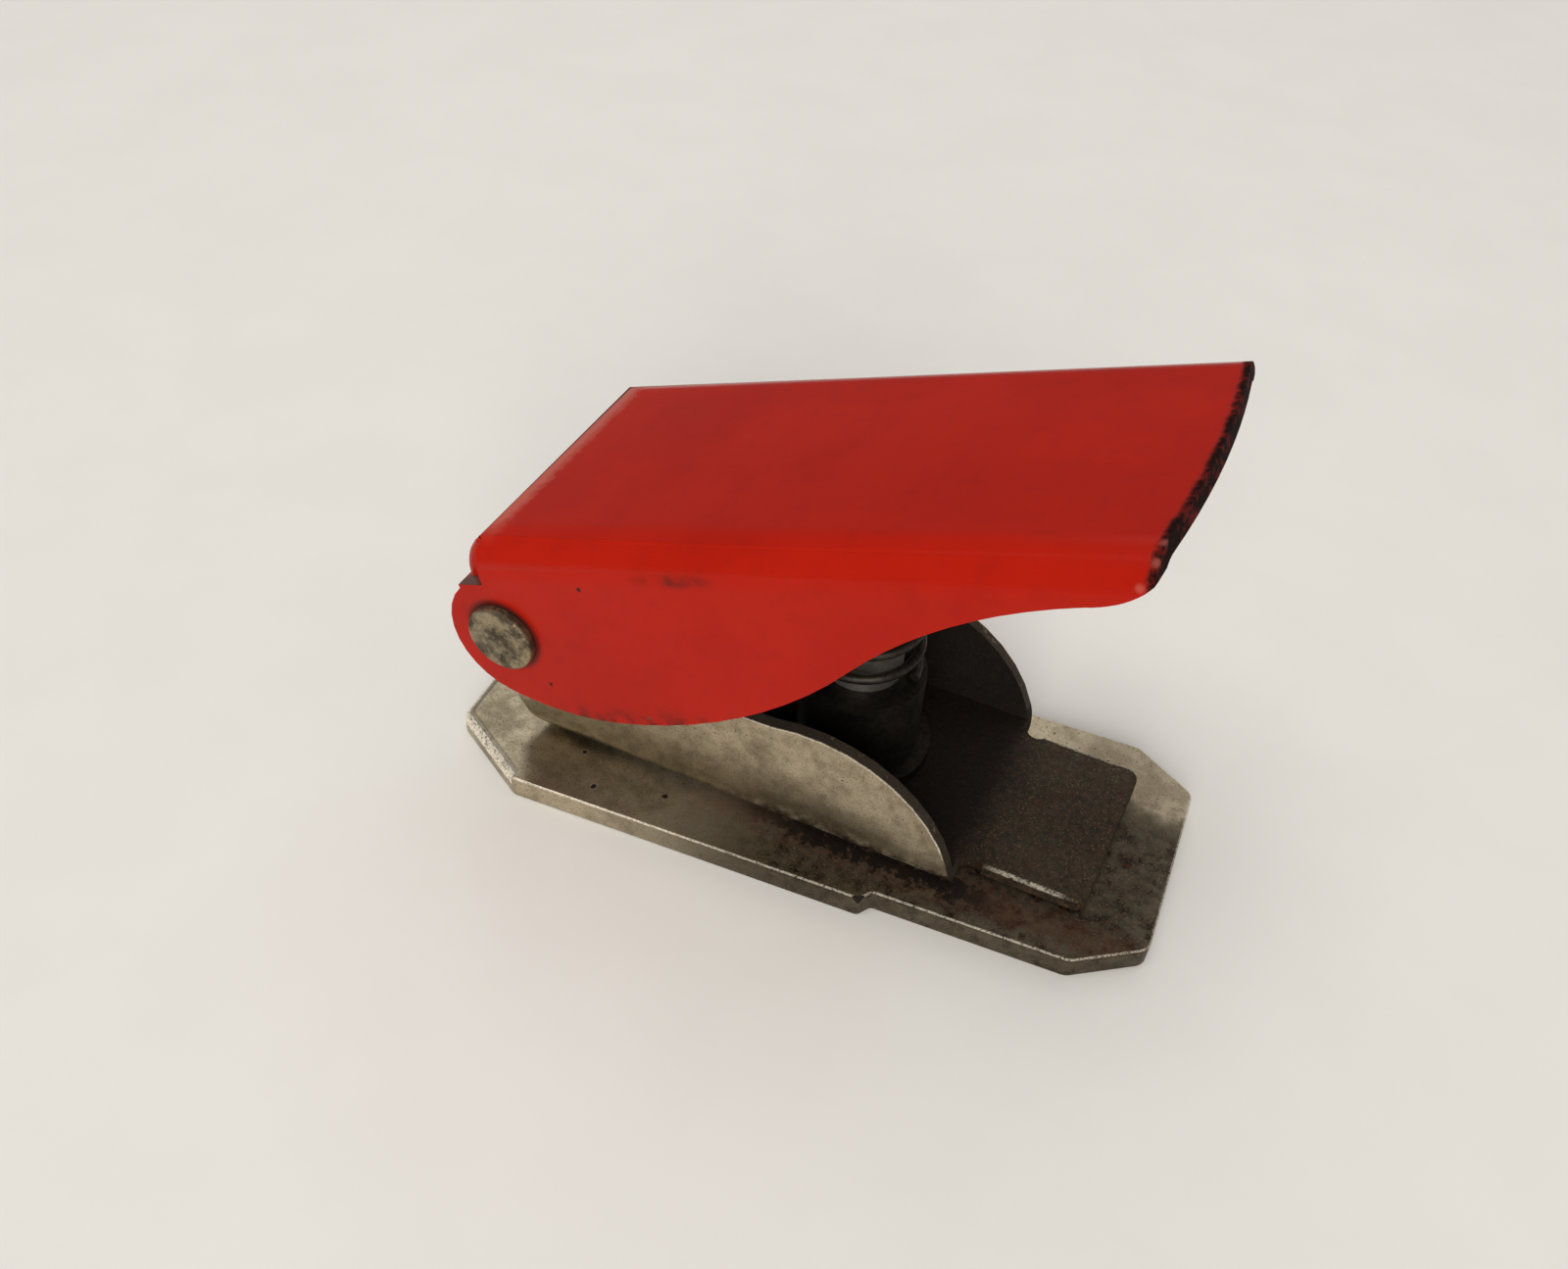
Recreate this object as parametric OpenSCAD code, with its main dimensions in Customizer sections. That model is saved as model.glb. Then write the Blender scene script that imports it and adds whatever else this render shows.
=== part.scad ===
// Single hole punch: a pressed lever over a bent sheet frame, riveted to a flat base plate.
// Millimetres, +Z up, +X towards the lever's free end. The origin is on the base's underside,
// straight below the pivot axis, in the middle plane of the frame.

/* [Base plate] */
// Middle of the base in front of the pivot axis
base_mid = 21.5; // [19:0.1:24]
// Length of the base plate
base_l = 57; // [52:0.5:70]
// Width of the base over its rear stretch
base_rear_w = 25.1; // [23:0.1:32]
// Width of the base over its front stretch
base_front_w = 23; // [21:0.1:30]
// Thickness of the base plate
base_t = 1.9; // [1.5:0.1:3]
// Length of the cut corners at the rear, along the base
rear_cut_l = 7.2; // [3:0.1:10]
// Width of the cut corners at the rear, across the base
rear_cut_w = 4.7; // [3:0.1:7]
// Length of the cut corners in front, along the base
front_cut_l = 5.1; // [3:0.1:8]
// Width of the cut corners in front, across the base
front_cut_w = 3.3; // [2:0.1:6]
// Place of the step in the long edges, from the middle of the base
step_x = 8; // [0:0.5:14]
// Length of that step along the edge
step_l = 0.7; // [0.6:0.1:3]
// Rounding of that step's corners in plan
step_corner_r = 0.5; // [0.2:0.1:0.8]
// Rounding of the base's other corners in plan
base_corner_r = 1.2; // [0.3:0.1:2]
// Turn of the base under the frame, seen from above
base_turn = 3.4; // [0:0.1:5]
// Sideways shift of the base under the frame
base_shift = -1.4; // [-2:0.1:1]

/* [Frame] */
// Width over the frame's cheeks
frame_w = 19.4; // [17:0.1:22]
// Thickness of the frame's sheet
frame_t = 1; // [0.8:0.1:1.4]
// Height of the paper slot under the frame
slot_h = 0.45; // [0.35:0.05:1]
// Outer radius of the folds between web and cheeks
fold_r = 1.2; // [0.6:0.1:1.6]
// Radius of the cheeks' round front
crest_r = 12.3; // [11:0.1:14]
// Crest of the cheeks in front of the pivot axis
crest_x = 23.4; // [21:0.1:26]
// Height of the crest above the base
crest_h = 10.55; // [9:0.05:12]
// Where the cheeks start to rise to their ears, in front of the pivot axis
shoulder_x = 14.4; // [10:0.1:18]
// Drop of that shoulder below the crest
shoulder_drop = 0.55; // [0.3:0.05:2]
// Rear edge of the cheeks, behind the pivot axis
frame_rear = 1.9; // [0.5:0.1:3]
// Rounding of the cheeks' lower rear corners
frame_heel_r = 4.2; // [1:0.1:4.6]
// Radius of the ears round the pivot
ear_r = 3.4; // [2.8:0.1:3.6]
// Front end of the flat tongue, in front of the pivot axis
tongue_x = 45.1; // [40:0.1:48]
// Step in from the cheeks to the tongue's edges
tongue_inset = 2.3; // [1:0.1:3]
// Rounding of the tongue's corners
tongue_corner_r = 1; // [0.2:0.1:3]
// Radius of the notches beside the tongue's root
notch_r = 0.9; // [0.5:0.1:1.2]

/* [Lever] */
// Thickness of the lever's sheet
lever_t = 1.2; // [0.8:0.1:1.4]
// Room between a frame cheek and the lever cheek outside it
side_room = 1.6; // [0.8:0.1:3]
// Pivot axis to the lever's front edge
lever_reach = 49.4; // [45:0.1:60]
// Pivot axis to the lever's top face
lever_rise = 7.65; // [7:0.05:9]
// Outer radius of the long bends beside the top
lever_bend_r = 3.05; // [1.8:0.05:4]
// Outer radius of the rolled rear edge
roll_r = 3.8; // [3:0.1:4.2]
// Where the top starts to roll down, in front of the pivot
roll_u = 1.6; // [1:0.1:2.2]
// Radius of the cheeks' round rear end
end_r = 5.4; // [4.2:0.1:6]
// Turn of the edge from the round end to the cheek's lowest point
end_turn = 28; // [20:1:34]
// Radius of the edge behind the lowest point
rear_edge_r = 20; // [18:0.5:24]
// Depth of the cheeks' lowest point below the pivot
belly_drop = 7.65; // [6.5:0.05:8.5]
// Lowest point of the cheeks, in front of the pivot
belly_u = 7.5; // [6:0.1:9]
// Radius of the edge in front of the lowest point
belly_r = 36; // [32:0.5:42]
// Where the edge turns from belly to hollow, in front of the pivot
waist_u = 28; // [25:0.5:30]
// Radius of the hollow stretch of the edge
hollow_r = 34; // [32:0.5:42]
// Rounding of the lever's front corners in plan
lever_corner_r = 2.4; // [1.5:0.1:5]
// Rounding of the cheeks' lower front corners seen from the side
lip_r = 7; // [4:0.1:9]
// Start of that rounding behind the front edge
lip_back = 5; // [4:0.1:8]
// Radius of the bowed front edge in plan
bow_r = 75; // [60:5:300]
// Length of the relief notches beside the rolled edge
relief_l = 2.3; // [1.8:0.1:2.8]
// Height of the notches' floor above the middle of the roll
relief_lift = 0.5; // [0:0.1:0.6]

/* [Pivot] */
// Pivot axis above the base
pivot_h = 12.5; // [12:0.1:14]
// Diameter of the pivot rivet
pivot_d = 4; // [3:0.1:4.6]
// Diameter of the pivot rivet's heads
pivot_head_d = 5.4; // [5:0.1:8]
// Thickness of the pivot rivet's heads
pivot_head_t = 0.7; // [0.4:0.1:1.2]
// Rounding of the pivot heads' rims
pivot_rim_r = 0.3; // [0.1:0.05:0.35]
// Outer diameter of the tube and washers on the pivot
pivot_collar_d = 6.4; // [5.6:0.1:6.6]

/* [Throat] */
// Distance of the hole from the paper's edge
hole_margin = 12; // [9:0.5:14]
// Length of the spacer behind the paper
spacer_l = 10; // [9:0.5:13]
// Step in from the cheeks to the spacer's edges
spacer_inset = 1; // [0.8:0.1:3]
// Diameter of the frame rivets
rivet_d = 2.8; // [2:0.1:3.5]
// Diameter of the frame rivets' heads
rivet_head_d = 5; // [4.4:0.1:6]
// Thickness of the frame rivets' upper heads
rivet_head_t = 0.8; // [0.5:0.1:1.5]
// Distance between the two frame rivets
rivet_pitch = 10; // [8:0.1:11]

/* [Punch] */
// Diameter of the punched hole
punch_d = 6; // [4:0.1:6.4]
// Punch axis in front of the pivot axis
punch_x = 23.5; // [22:0.1:26]
// Diameter of the punch's head
head_d = 9.4; // [9:0.1:11]
// Thickness of the head's rim
head_t = 1.3; // [0.8:0.1:2]
// Radius of the head's dome
dome_r = 10; // [9:0.5:14]
// Depth of the punch in the base when the lever is down
die_reach = 0.9; // [0.5:0.1:1.2]
// Top of the guide bush above the base
bush_h = 9.7; // [8:0.1:10.5]
// Diameter of the guide bush
bush_d = 9.8; // [9.4:0.1:11]
// Diameter of the bush's spigot in the web
spigot_d = 8.4; // [8:0.1:9]
// Diameter of the bush's flange on the web
flange_d = 12; // [11:0.1:13]
// Thickness of the bush's flange
flange_t = 1; // [0.6:0.1:2]

/* [Return spring] */
// Diameter of the spring's wire
wire_d = 0.8; // [0.6:0.05:1]
// Mean diameter of the curls
coil_d = 8.2; // [7.8:0.1:8.8]
// Number of curls
curls = 6; // [4:1:8]

/* [Motion] */
// Angle of the open lever above level
lever_open = 20; // [18:0.5:22]
// Angle that the lever is pressed down
lever_press = 14; // [10:0.5:16]

/* [Clearances] */
// Running clearance round the pivot and the punch
run_gap = 0.05; // [0.02:0.01:0.1]
// Clearance round fixed rivets and spigots
seat_gap = 0.02; // [0.01:0.01:0.05]
// Play beside the lever's cheeks
side_gap = 0.1; // [0.05:0.05:0.3]
// Gap between the open lever and what stops or meets it
touch_gap = 0.3; // [0.2:0.05:0.4]
// Gap between the spring and its seats
spring_gap = 0.05; // [0.02:0.01:0.2]

/* [Hidden] */
$fn = 64;
arc_steps = 10;
corner_steps = 4;
wire_sides = 6;
curl_rings = 8;
beyond = 80;

web_z = base_t + slot_h;
web_top = web_z + frame_t;
cheek_out = frame_w / 2;
cheek_in = cheek_out - frame_t;
tongue_half = cheek_out - tongue_inset;
crest_z = base_t + crest_h - crest_r;
foot_turn = asin((web_z - crest_z) / crest_r);
foot_x = crest_x + crest_r * cos(foot_turn);
crest_turn = 14;

pivot_z = base_t + pivot_h;
pivot_r = pivot_d / 2;

lever_in = cheek_out + side_room;
lever_out = lever_in + lever_t;
roof_v = lever_rise - lever_t;
roll_v = lever_rise - roll_r;
roll_in = roll_r - lever_t;
end_start = 120;
relief_v = roll_v + relief_lift;
waist_turn = asin((waist_u - belly_u) / belly_r);

stop_x = punch_x - hole_margin;
rivet_x = stop_x - spacer_l / 2;
rivet_r = rivet_d / 2;
rivet_head_r = rivet_head_d / 2;

// Height at which the dome meets the lever's roof, with the lever at this angle above level
function dome_top(angle) =
    pivot_z + punch_x * tan(angle) + (roof_v - dome_r) / cos(angle) + dome_r;

punch_r = punch_d / 2;
stroke = dome_top(lever_open) - dome_top(lever_open - lever_press);
head_top = dome_top(lever_open) - touch_gap;
head_r = head_d / 2;
dome_h = dome_r - sqrt(dome_r * dome_r - head_r * head_r);
head_z = head_top - dome_h - head_t;
tip_z = base_t - die_reach + stroke;
bush_top = base_t + bush_h;
bush_r = bush_d / 2;

coil_r = coil_d / 2;
coil_low = bush_top + spring_gap + wire_d / 2;
coil_high = head_z - spring_gap - wire_d / 2;
coil_turn = 360 / curl_rings;

function unit(v) = v / norm(v);

// Points of an arc about a centre, from one angle to another
function arc(c, r, from, to) =
    [for (i = [0 : arc_steps]) let (a = from + (to - from) * i / arc_steps) c + r * [cos(a), sin(a)]];

// Points that round the corner b of the path a, b, c
function fillet(a, b, c, r) =
    let (
        back = unit(a - b),
        ahead = unit(c - b),
        half = acos(back * ahead) / 2,
        mid = b + unit(back + ahead) * r / sin(half),
        start = b + back * r / tan(half) - mid,
        stop = b + ahead * r / tan(half) - mid,
        turn = atan2(start.x * stop.y - start.y * stop.x, start * stop),
        first = atan2(start.y, start.x)
    )
    [for (i = [0 : corner_steps])
        let (a = first + turn * i / corner_steps)
        mid + r * [cos(a), sin(a)]];

// A closed outline with every corner rounded by its own radius
function rounded(path, radii) =
    let (n = len(path))
    [for (i = [0 : n - 1]) each fillet(path[(i + n - 1) % n], path[i], path[(i + 1) % n], radii[i])];

// A point of the open lever, u along it and v square to it from the pivot axis
function lever_point(u, v) = [
    u * cos(lever_open) - v * sin(lever_open),
    pivot_z + u * sin(lever_open) + v * cos(lever_open)
];

// Stands a drawing of X and Z across the width
module across(width) {
    rotate([90, 0, 0])
        linear_extrude(width, center = true)
            children();
}

// Runs a drawing of Y and Z along X from one place to another
module along(from, to) {
    translate([from, 0, 0])
        rotate([90, 0, 90])
            linear_extrude(to - from)
                children();
}

// A cylinder across the frame at the pivot, between two distances from the middle plane
module pivot_round(r, from, to) {
    translate([0, from, pivot_z])
        rotate([-90, 0, 0])
            cylinder(r = r, h = to - from);
}

module base_outline() {
    side = [
        [-base_l / 2, base_rear_w / 2 - rear_cut_w],
        [rear_cut_l - base_l / 2, base_rear_w / 2],
        [step_x - step_l / 2, base_rear_w / 2],
        [step_x + step_l / 2, base_front_w / 2],
        [base_l / 2 - front_cut_l, base_front_w / 2],
        [base_l / 2, base_front_w / 2 - front_cut_w]
    ];
    other = [for (i = [len(side) - 1 : -1 : 0]) [side[i].x, -side[i].y]];
    ends = [base_corner_r, base_corner_r];
    radii = concat(ends, [step_corner_r, step_corner_r], ends);
    polygon(rounded(concat(side, other), concat(radii, radii)));
}

// One frame rivet, or with a gap round it the hole that takes it
module frame_rivet(gap) {
    sink = rivet_head_r - rivet_r;
    cylinder(r = rivet_r + gap, h = web_top + rivet_head_t / 2);
    cylinder(r1 = rivet_head_r + gap, r2 = rivet_r + gap, h = sink);
    translate([0, 0, web_top])
        cylinder(r = rivet_head_r + gap, h = rivet_head_t);
}

module at_frame_rivets() {
    for (side = [-1, 1])
        translate([rivet_x, side * rivet_pitch / 2, 0])
            children();
}

module base_plate() {
    color("#938c7e")
        difference() {
            translate([base_mid, base_shift, 0])
                rotate([0, 0, base_turn])
                    linear_extrude(base_t)
                        base_outline();
            translate([punch_x, 0, -beyond / 2])
                cylinder(r = punch_r + run_gap, h = beyond);
            at_frame_rivets()
                frame_rivet(seat_gap);
        }
}

module throat_spacer() {
    half = cheek_out - spacer_inset;
    color("#7d776c")
        difference() {
            translate([stop_x - spacer_l, -half, base_t])
                cube([spacer_l, 2 * half, slot_h]);
            at_frame_rivets()
                frame_rivet(seat_gap);
        }
}

// The frame's cheeks seen from the side
module cheek_outline() {
    edge = concat(
        arc([crest_x, crest_z], crest_r, foot_turn, 90 + crest_turn),
        [
            [shoulder_x, crest_z + crest_r - shoulder_drop],
            [ear_r * sin(crest_turn), pivot_z + ear_r * cos(crest_turn)],
            lever_point(roll_u - roll_in, roll_v - touch_gap),
            lever_point(roll_u - roll_r, roll_v - touch_gap),
            [-ear_r, pivot_z]
        ],
        arc([frame_heel_r - frame_rear, web_z + frame_heel_r], frame_heel_r, 180, 270)
    );
    polygon(edge);
    translate([0, pivot_z])
        circle(r = ear_r);
}

// The bent sheet seen from the end
module channel_section() {
    difference() {
        union() {
            translate([-cheek_out, web_z + fold_r])
                square([frame_w, beyond]);
            translate([fold_r - cheek_out, web_z])
                square([frame_w - 2 * fold_r, 2 * fold_r]);
            for (side = [-1, 1])
                translate([side * (cheek_out - fold_r), web_z + fold_r])
                    circle(r = fold_r);
        }
        translate([-cheek_in, web_top])
            square([2 * cheek_in, beyond]);
    }
}

module tongue_outline() {
    translate([0, -tongue_half])
        square([tongue_x - tongue_corner_r, 2 * tongue_half]);
    translate([0, tongue_corner_r - tongue_half])
        square([tongue_x, 2 * (tongue_half - tongue_corner_r)]);
    for (side = [-1, 1])
        translate([tongue_x - tongue_corner_r, side * (tongue_half - tongue_corner_r)])
            circle(r = tongue_corner_r);
}

module frame() {
    color("#857e71")
        difference() {
            union() {
                intersection() {
                    along(-beyond, beyond)
                        channel_section();
                    across(2 * frame_w)
                        cheek_outline();
                }
                translate([0, 0, web_z])
                    linear_extrude(frame_t)
                        tongue_outline();
            }
            for (side = [-1, 1])
                translate([foot_x + notch_r, side * (tongue_half + notch_r / 2), 0])
                    cylinder(r = notch_r, h = web_top + frame_t);
            pivot_round(pivot_r + seat_gap, -frame_w, frame_w);
            translate([punch_x, 0, 0])
                cylinder(r = spigot_d / 2 + seat_gap, h = web_top + frame_t);
            at_frame_rivets()
                frame_rivet(seat_gap);
        }
}

module frame_rivets() {
    color("#a39c8f")
        at_frame_rivets()
            frame_rivet(0);
}

// A flat rivet head with a rounded rim, standing on the origin
module pivot_head() {
    r = pivot_head_d / 2;
    rotate_extrude() {
        square([r - pivot_rim_r, pivot_head_t]);
        square([r, pivot_head_t - pivot_rim_r]);
        translate([r - pivot_rim_r, pivot_head_t - pivot_rim_r])
            circle(r = pivot_rim_r);
    }
}

module pivot_rivet() {
    seat = lever_out + side_gap;
    color("#9d978a") {
        pivot_round(pivot_r, -seat - pivot_head_t / 2, seat + pivot_head_t / 2);
        for (side = [-1, 1])
            translate([0, side * seat, pivot_z])
                rotate([-90 * side, 0, 0])
                    pivot_head();
    }
}

module pivot_tube() {
    color("#77726a")
        difference() {
            pivot_round(pivot_collar_d / 2, -cheek_in, cheek_in);
            pivot_round(pivot_r + seat_gap, -frame_w, frame_w);
        }
}

module pivot_washers() {
    color("#88837a")
        difference() {
            for (side = [0, 1])
                mirror([0, side, 0])
                    pivot_round(pivot_collar_d / 2, cheek_out, lever_in - side_gap);
            pivot_round(pivot_r + seat_gap, -lever_out, lever_out);
        }
}

// The lever's cheeks seen from the side, u along the lever and v up from the pivot axis
module lever_side() {
    rear_c = [belly_u, rear_edge_r - belly_drop];
    end_c = rear_c - (rear_edge_r - end_r) * [sin(end_turn), cos(end_turn)];
    belly_c = [belly_u, belly_r - belly_drop];
    hollow_c = belly_c + (belly_r + hollow_r) * [sin(waist_turn), -cos(waist_turn)];
    lip_u = lever_reach - lip_back;
    past = max(0, hollow_c.x - lip_u);
    lip_v = hollow_c.y + sqrt(hollow_r * hollow_r - past * past);
    lip_top = roof_v - lever_t / 4;
    lip_turn = acos(1 - max(0, lip_top - lip_v) / lip_r);
    edge = concat(
        arc(end_c, end_r, end_start, 270 - end_turn),
        arc(rear_c, rear_edge_r, 270 - end_turn, 270),
        arc(belly_c, belly_r, 270, 270 + waist_turn),
        arc(hollow_c, hollow_r, 90 + waist_turn, 90 + asin(past / hollow_r)),
        arc([lip_u, lip_v + lip_r], lip_r, 270, 270 + lip_turn),
        [
            [lever_reach + beyond, lip_top],
            [lever_reach + beyond, lever_rise],
            [roll_u, lever_rise]
        ]
    );
    polygon(edge);
    translate([roll_u, roll_v])
        circle(r = roll_r);
}

// The space under the lever's sheet seen from the side, open behind below the rolled edge
module lever_hollow_side() {
    translate([roll_u, roll_v])
        circle(r = roll_in);
    translate([roll_u, -beyond])
        square([3 * beyond, beyond + roof_v]);
    translate([-beyond, -beyond])
        square([3 * beyond, beyond + roll_v]);
}

// The lever's channel seen from the end
module lever_section(half, top, r) {
    translate([-half, -beyond])
        square([2 * half, beyond + top - r]);
    translate([r - half, -beyond])
        square([2 * (half - r), beyond + top]);
    for (side = [-1, 1])
        translate([side * (half - r), top - r])
            circle(r = r);
}

// The lever's outline seen from above
module lever_plan() {
    straight = lever_reach - lever_corner_r;
    intersection() {
        union() {
            translate([-beyond, -lever_out])
                square([beyond + straight, 2 * lever_out]);
            translate([-beyond, lever_corner_r - lever_out])
                square([beyond + lever_reach, 2 * (lever_out - lever_corner_r)]);
            for (side = [-1, 1])
                translate([straight, side * (lever_out - lever_corner_r)])
                    circle(r = lever_corner_r);
        }
        translate([lever_reach - bow_r, 0])
            circle(r = bow_r, $fn = 180);
    }
}

// The lever lying level, with the pivot axis through the origin
module level_lever() {
    difference() {
        intersection() {
            along(-beyond, 2 * beyond)
                lever_section(lever_out, lever_rise, lever_bend_r);
            across(3 * lever_out)
                lever_side();
            translate([0, 0, -beyond])
                linear_extrude(2 * beyond)
                    lever_plan();
        }
        intersection() {
            along(-beyond, 2 * beyond)
                lever_section(lever_in, roof_v, lever_bend_r - lever_t);
            across(3 * lever_out)
                lever_hollow_side();
        }
        for (side = [0, 1])
            mirror([0, side, 0])
                translate([roll_u - roll_r - beyond, lever_in, relief_v])
                    cube([beyond + relief_l, 2 * lever_t, beyond]);
        rotate([90, 0, 0])
            cylinder(r = pivot_r + run_gap, h = 4 * lever_out, center = true);
    }
}

module lever() {
    color("#b3261e")
        translate([0, 0, pivot_z])
            rotate([0, -lever_open, 0])
                level_lever();
}

module guide_bush() {
    color("#8c8880")
        translate([punch_x, 0, 0])
            difference() {
                union() {
                    translate([0, 0, web_z])
                        cylinder(r = spigot_d / 2, h = frame_t + flange_t / 2);
                    translate([0, 0, web_top])
                        cylinder(r = flange_d / 2, h = flange_t);
                    translate([0, 0, web_top + flange_t / 2])
                        cylinder(r = bush_r, h = bush_top - web_top - flange_t / 2);
                }
                cylinder(r = punch_r + run_gap, h = beyond);
            }
}

module punch_pin() {
    color("#b0aca4")
        translate([punch_x, 0, 0]) {
            translate([0, 0, tip_z])
                cylinder(r = punch_r, h = head_z + head_t / 2 - tip_z);
            translate([0, 0, head_z])
                cylinder(r = head_r, h = head_t);
            intersection() {
                translate([0, 0, head_top - dome_r])
                    sphere(r = dome_r);
                translate([0, 0, head_z + head_t / 2])
                    cylinder(r = head_r, h = beyond);
            }
        }
}

// Middle of the wire at a ring of the spring, with a straight end one wire long before and after
function coil_point(i) =
    let (
        last = curls * curl_rings,
        k = min(max(i, 0), last),
        a = k * coil_turn,
        ahead = unit([-sin(a), cos(a), (coil_high - coil_low) / (curls * PI * coil_d)])
    )
    [coil_r * cos(a), coil_r * sin(a), coil_low + (coil_high - coil_low) * k / last]
        + (i - k) * wire_d * [ahead.x, ahead.y, 0];

// Corners of the wire at a ring of the spring
function coil_ring(i) =
    let (
        a = min(max(i, 0), curls * curl_rings) * coil_turn,
        out = [cos(a), sin(a), 0],
        ahead = unit([-sin(a), cos(a), (coil_high - coil_low) / (curls * PI * coil_d)]),
        up = cross(out, ahead)
    )
    [for (s = [0 : wire_sides - 1])
        coil_point(i) + wire_d / 2 * (cos(s * 360 / wire_sides) * out + sin(s * 360 / wire_sides) * up)];

module return_spring() {
    first = -1;
    last = curls * curl_rings + 1;
    rings = last - first + 1;
    points = [for (i = [first : last]) each coil_ring(i)];
    gaps = [
        for (i = [first : last])
            for (j = [i + curl_rings / 2 : last])
                norm(coil_point(i) - coil_point(j)) - wire_d
    ];
    echo(least_gap_between_curls = min(gaps));
    echo(stroke = stroke, head_z = head_z, spring_foot = coil_low - wire_d / 2);
    walls = [
        for (i = [0 : rings - 2])
            for (s = [0 : wire_sides - 1])
                let (
                    a = i * wire_sides + s,
                    b = i * wire_sides + (s + 1) % wire_sides,
                    c = b + wire_sides,
                    d = a + wire_sides
                )
                each [[a, b, c], [a, c, d]]
    ];
    top = (rings - 1) * wire_sides;
    ends = [for (s = [1 : wire_sides - 2]) each [[0, s + 1, s], [top, top + s, top + s + 1]]];
    color("#9b978d")
        translate([punch_x, 0, 0])
            polyhedron(points, concat(walls, ends));
}

base_plate();
throat_spacer();
frame();
frame_rivets();
pivot_rivet();
pivot_tube();
pivot_washers();
lever();
guide_bush();
punch_pin();
return_spring();
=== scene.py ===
import math

import bmesh
import bpy
from mathutils import Matrix, Vector


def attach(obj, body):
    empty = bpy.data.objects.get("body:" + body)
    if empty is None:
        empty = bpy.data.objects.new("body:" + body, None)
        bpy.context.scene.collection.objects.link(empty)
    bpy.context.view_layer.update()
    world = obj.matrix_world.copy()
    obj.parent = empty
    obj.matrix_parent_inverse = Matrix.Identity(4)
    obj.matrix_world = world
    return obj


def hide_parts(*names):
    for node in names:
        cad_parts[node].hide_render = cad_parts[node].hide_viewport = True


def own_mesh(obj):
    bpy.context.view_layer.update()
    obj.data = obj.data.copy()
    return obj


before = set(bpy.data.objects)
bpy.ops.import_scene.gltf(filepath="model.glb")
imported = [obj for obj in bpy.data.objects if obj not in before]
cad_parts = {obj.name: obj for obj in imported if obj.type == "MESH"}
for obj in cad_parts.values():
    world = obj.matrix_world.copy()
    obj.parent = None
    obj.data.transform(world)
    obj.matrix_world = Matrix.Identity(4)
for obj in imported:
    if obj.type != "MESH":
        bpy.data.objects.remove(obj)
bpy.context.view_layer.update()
mm = 0.001
print("frame loaded:", len(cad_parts), "nodes")


# node helpers: a socket is linked, anything else is set on the socket itself
def put(tree, socket, value):
    if isinstance(value, bpy.types.NodeSocket):
        tree.links.new(value, socket)
    else:
        socket.default_value = value


def startMaterial(name):
    mat = bpy.data.materials.new(name)
    mat.use_nodes = True
    tree = mat.node_tree
    coords = tree.nodes.new("ShaderNodeTexCoord").outputs["Object"]
    return mat, tree, tree.nodes["Principled BSDF"], coords


def calc(tree, operation, a, b=0.0, clamp=False):
    node = tree.nodes.new("ShaderNodeMath")
    node.operation = operation
    node.use_clamp = clamp
    put(tree, node.inputs[0], a)
    put(tree, node.inputs[1], b)
    return node.outputs[0]


def most(tree, *masks):
    result = masks[0]
    for mask in masks[1:]:
        result = calc(tree, "MAXIMUM", result, mask)
    return result


def times(tree, *masks):
    result = masks[0]
    for mask in masks[1:]:
        result = calc(tree, "MULTIPLY", result, mask)
    return result


def noise(tree, coords, size, detail=4.0, rough=0.55):
    node = tree.nodes.new("ShaderNodeTexNoise")
    put(tree, node.inputs["Vector"], coords)
    node.inputs["Scale"].default_value = 1.0 / (size * mm)
    node.inputs["Detail"].default_value = detail
    node.inputs["Roughness"].default_value = rough
    return node.outputs[0]


def fade(tree, value, low, high):
    node = tree.nodes.new("ShaderNodeMapRange")
    node.interpolation_type = "SMOOTHSTEP"
    put(tree, node.inputs["Value"], value)
    put(tree, node.inputs["From Min"], low)
    put(tree, node.inputs["From Max"], high)
    return node.outputs["Result"]


# the same for a length, with its two ends in millimetres
def fadeAlong(tree, length, ends):
    return fade(tree, length, ends[0] * mm, ends[1] * mm)


def span(tree, value, low, high):
    node = tree.nodes.new("ShaderNodeMapRange")
    put(tree, node.inputs["Value"], value)
    put(tree, node.inputs["To Min"], low)
    put(tree, node.inputs["To Max"], high)
    return node.outputs["Result"]


def tint(tree, amount, under, over):
    node = tree.nodes.new("ShaderNodeMix")
    node.data_type = "RGBA"
    put(tree, node.inputs[0], amount)
    for socket, colour in ((node.inputs[6], under), (node.inputs[7], over)):
        put(tree, socket, colour if isinstance(colour, bpy.types.NodeSocket) else (*colour, 1.0))
    return node.outputs[2]


def mapped(tree, coords, place=(0, 0, 0), turn=(0, 0, 0), scale=(1, 1, 1)):
    node = tree.nodes.new("ShaderNodeMapping")
    put(tree, node.inputs["Vector"], coords)
    node.inputs["Location"].default_value = place
    node.inputs["Rotation"].default_value = turn
    node.inputs["Scale"].default_value = scale
    return node.outputs[0]


def split(tree, coords):
    node = tree.nodes.new("ShaderNodeSeparateXYZ")
    put(tree, node.inputs[0], coords)
    return node.outputs[0], node.outputs[1], node.outputs[2]


def painted(tree, name):
    node = tree.nodes.new("ShaderNodeAttribute")
    node.attribute_name = name
    return node.outputs["Fac"]


# a round mark in mm, whose edge moves in and out with the noise that is given
raggedEdge = 3.0


def mark(tree, coords, place, radius, soft, ragged=None):
    node = tree.nodes.new("ShaderNodeVectorMath")
    node.operation = "DISTANCE"
    put(tree, node.inputs[0], coords)
    node.inputs[1].default_value = [p * mm for p in place]
    reach = node.outputs["Value"]
    if ragged:
        tear = times(tree, calc(tree, "SUBTRACT", ragged, 0.5), raggedEdge * radius * mm)
        reach = calc(tree, "ADD", reach, tear)
    return fadeAlong(tree, reach, (radius + soft, radius))


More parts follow.
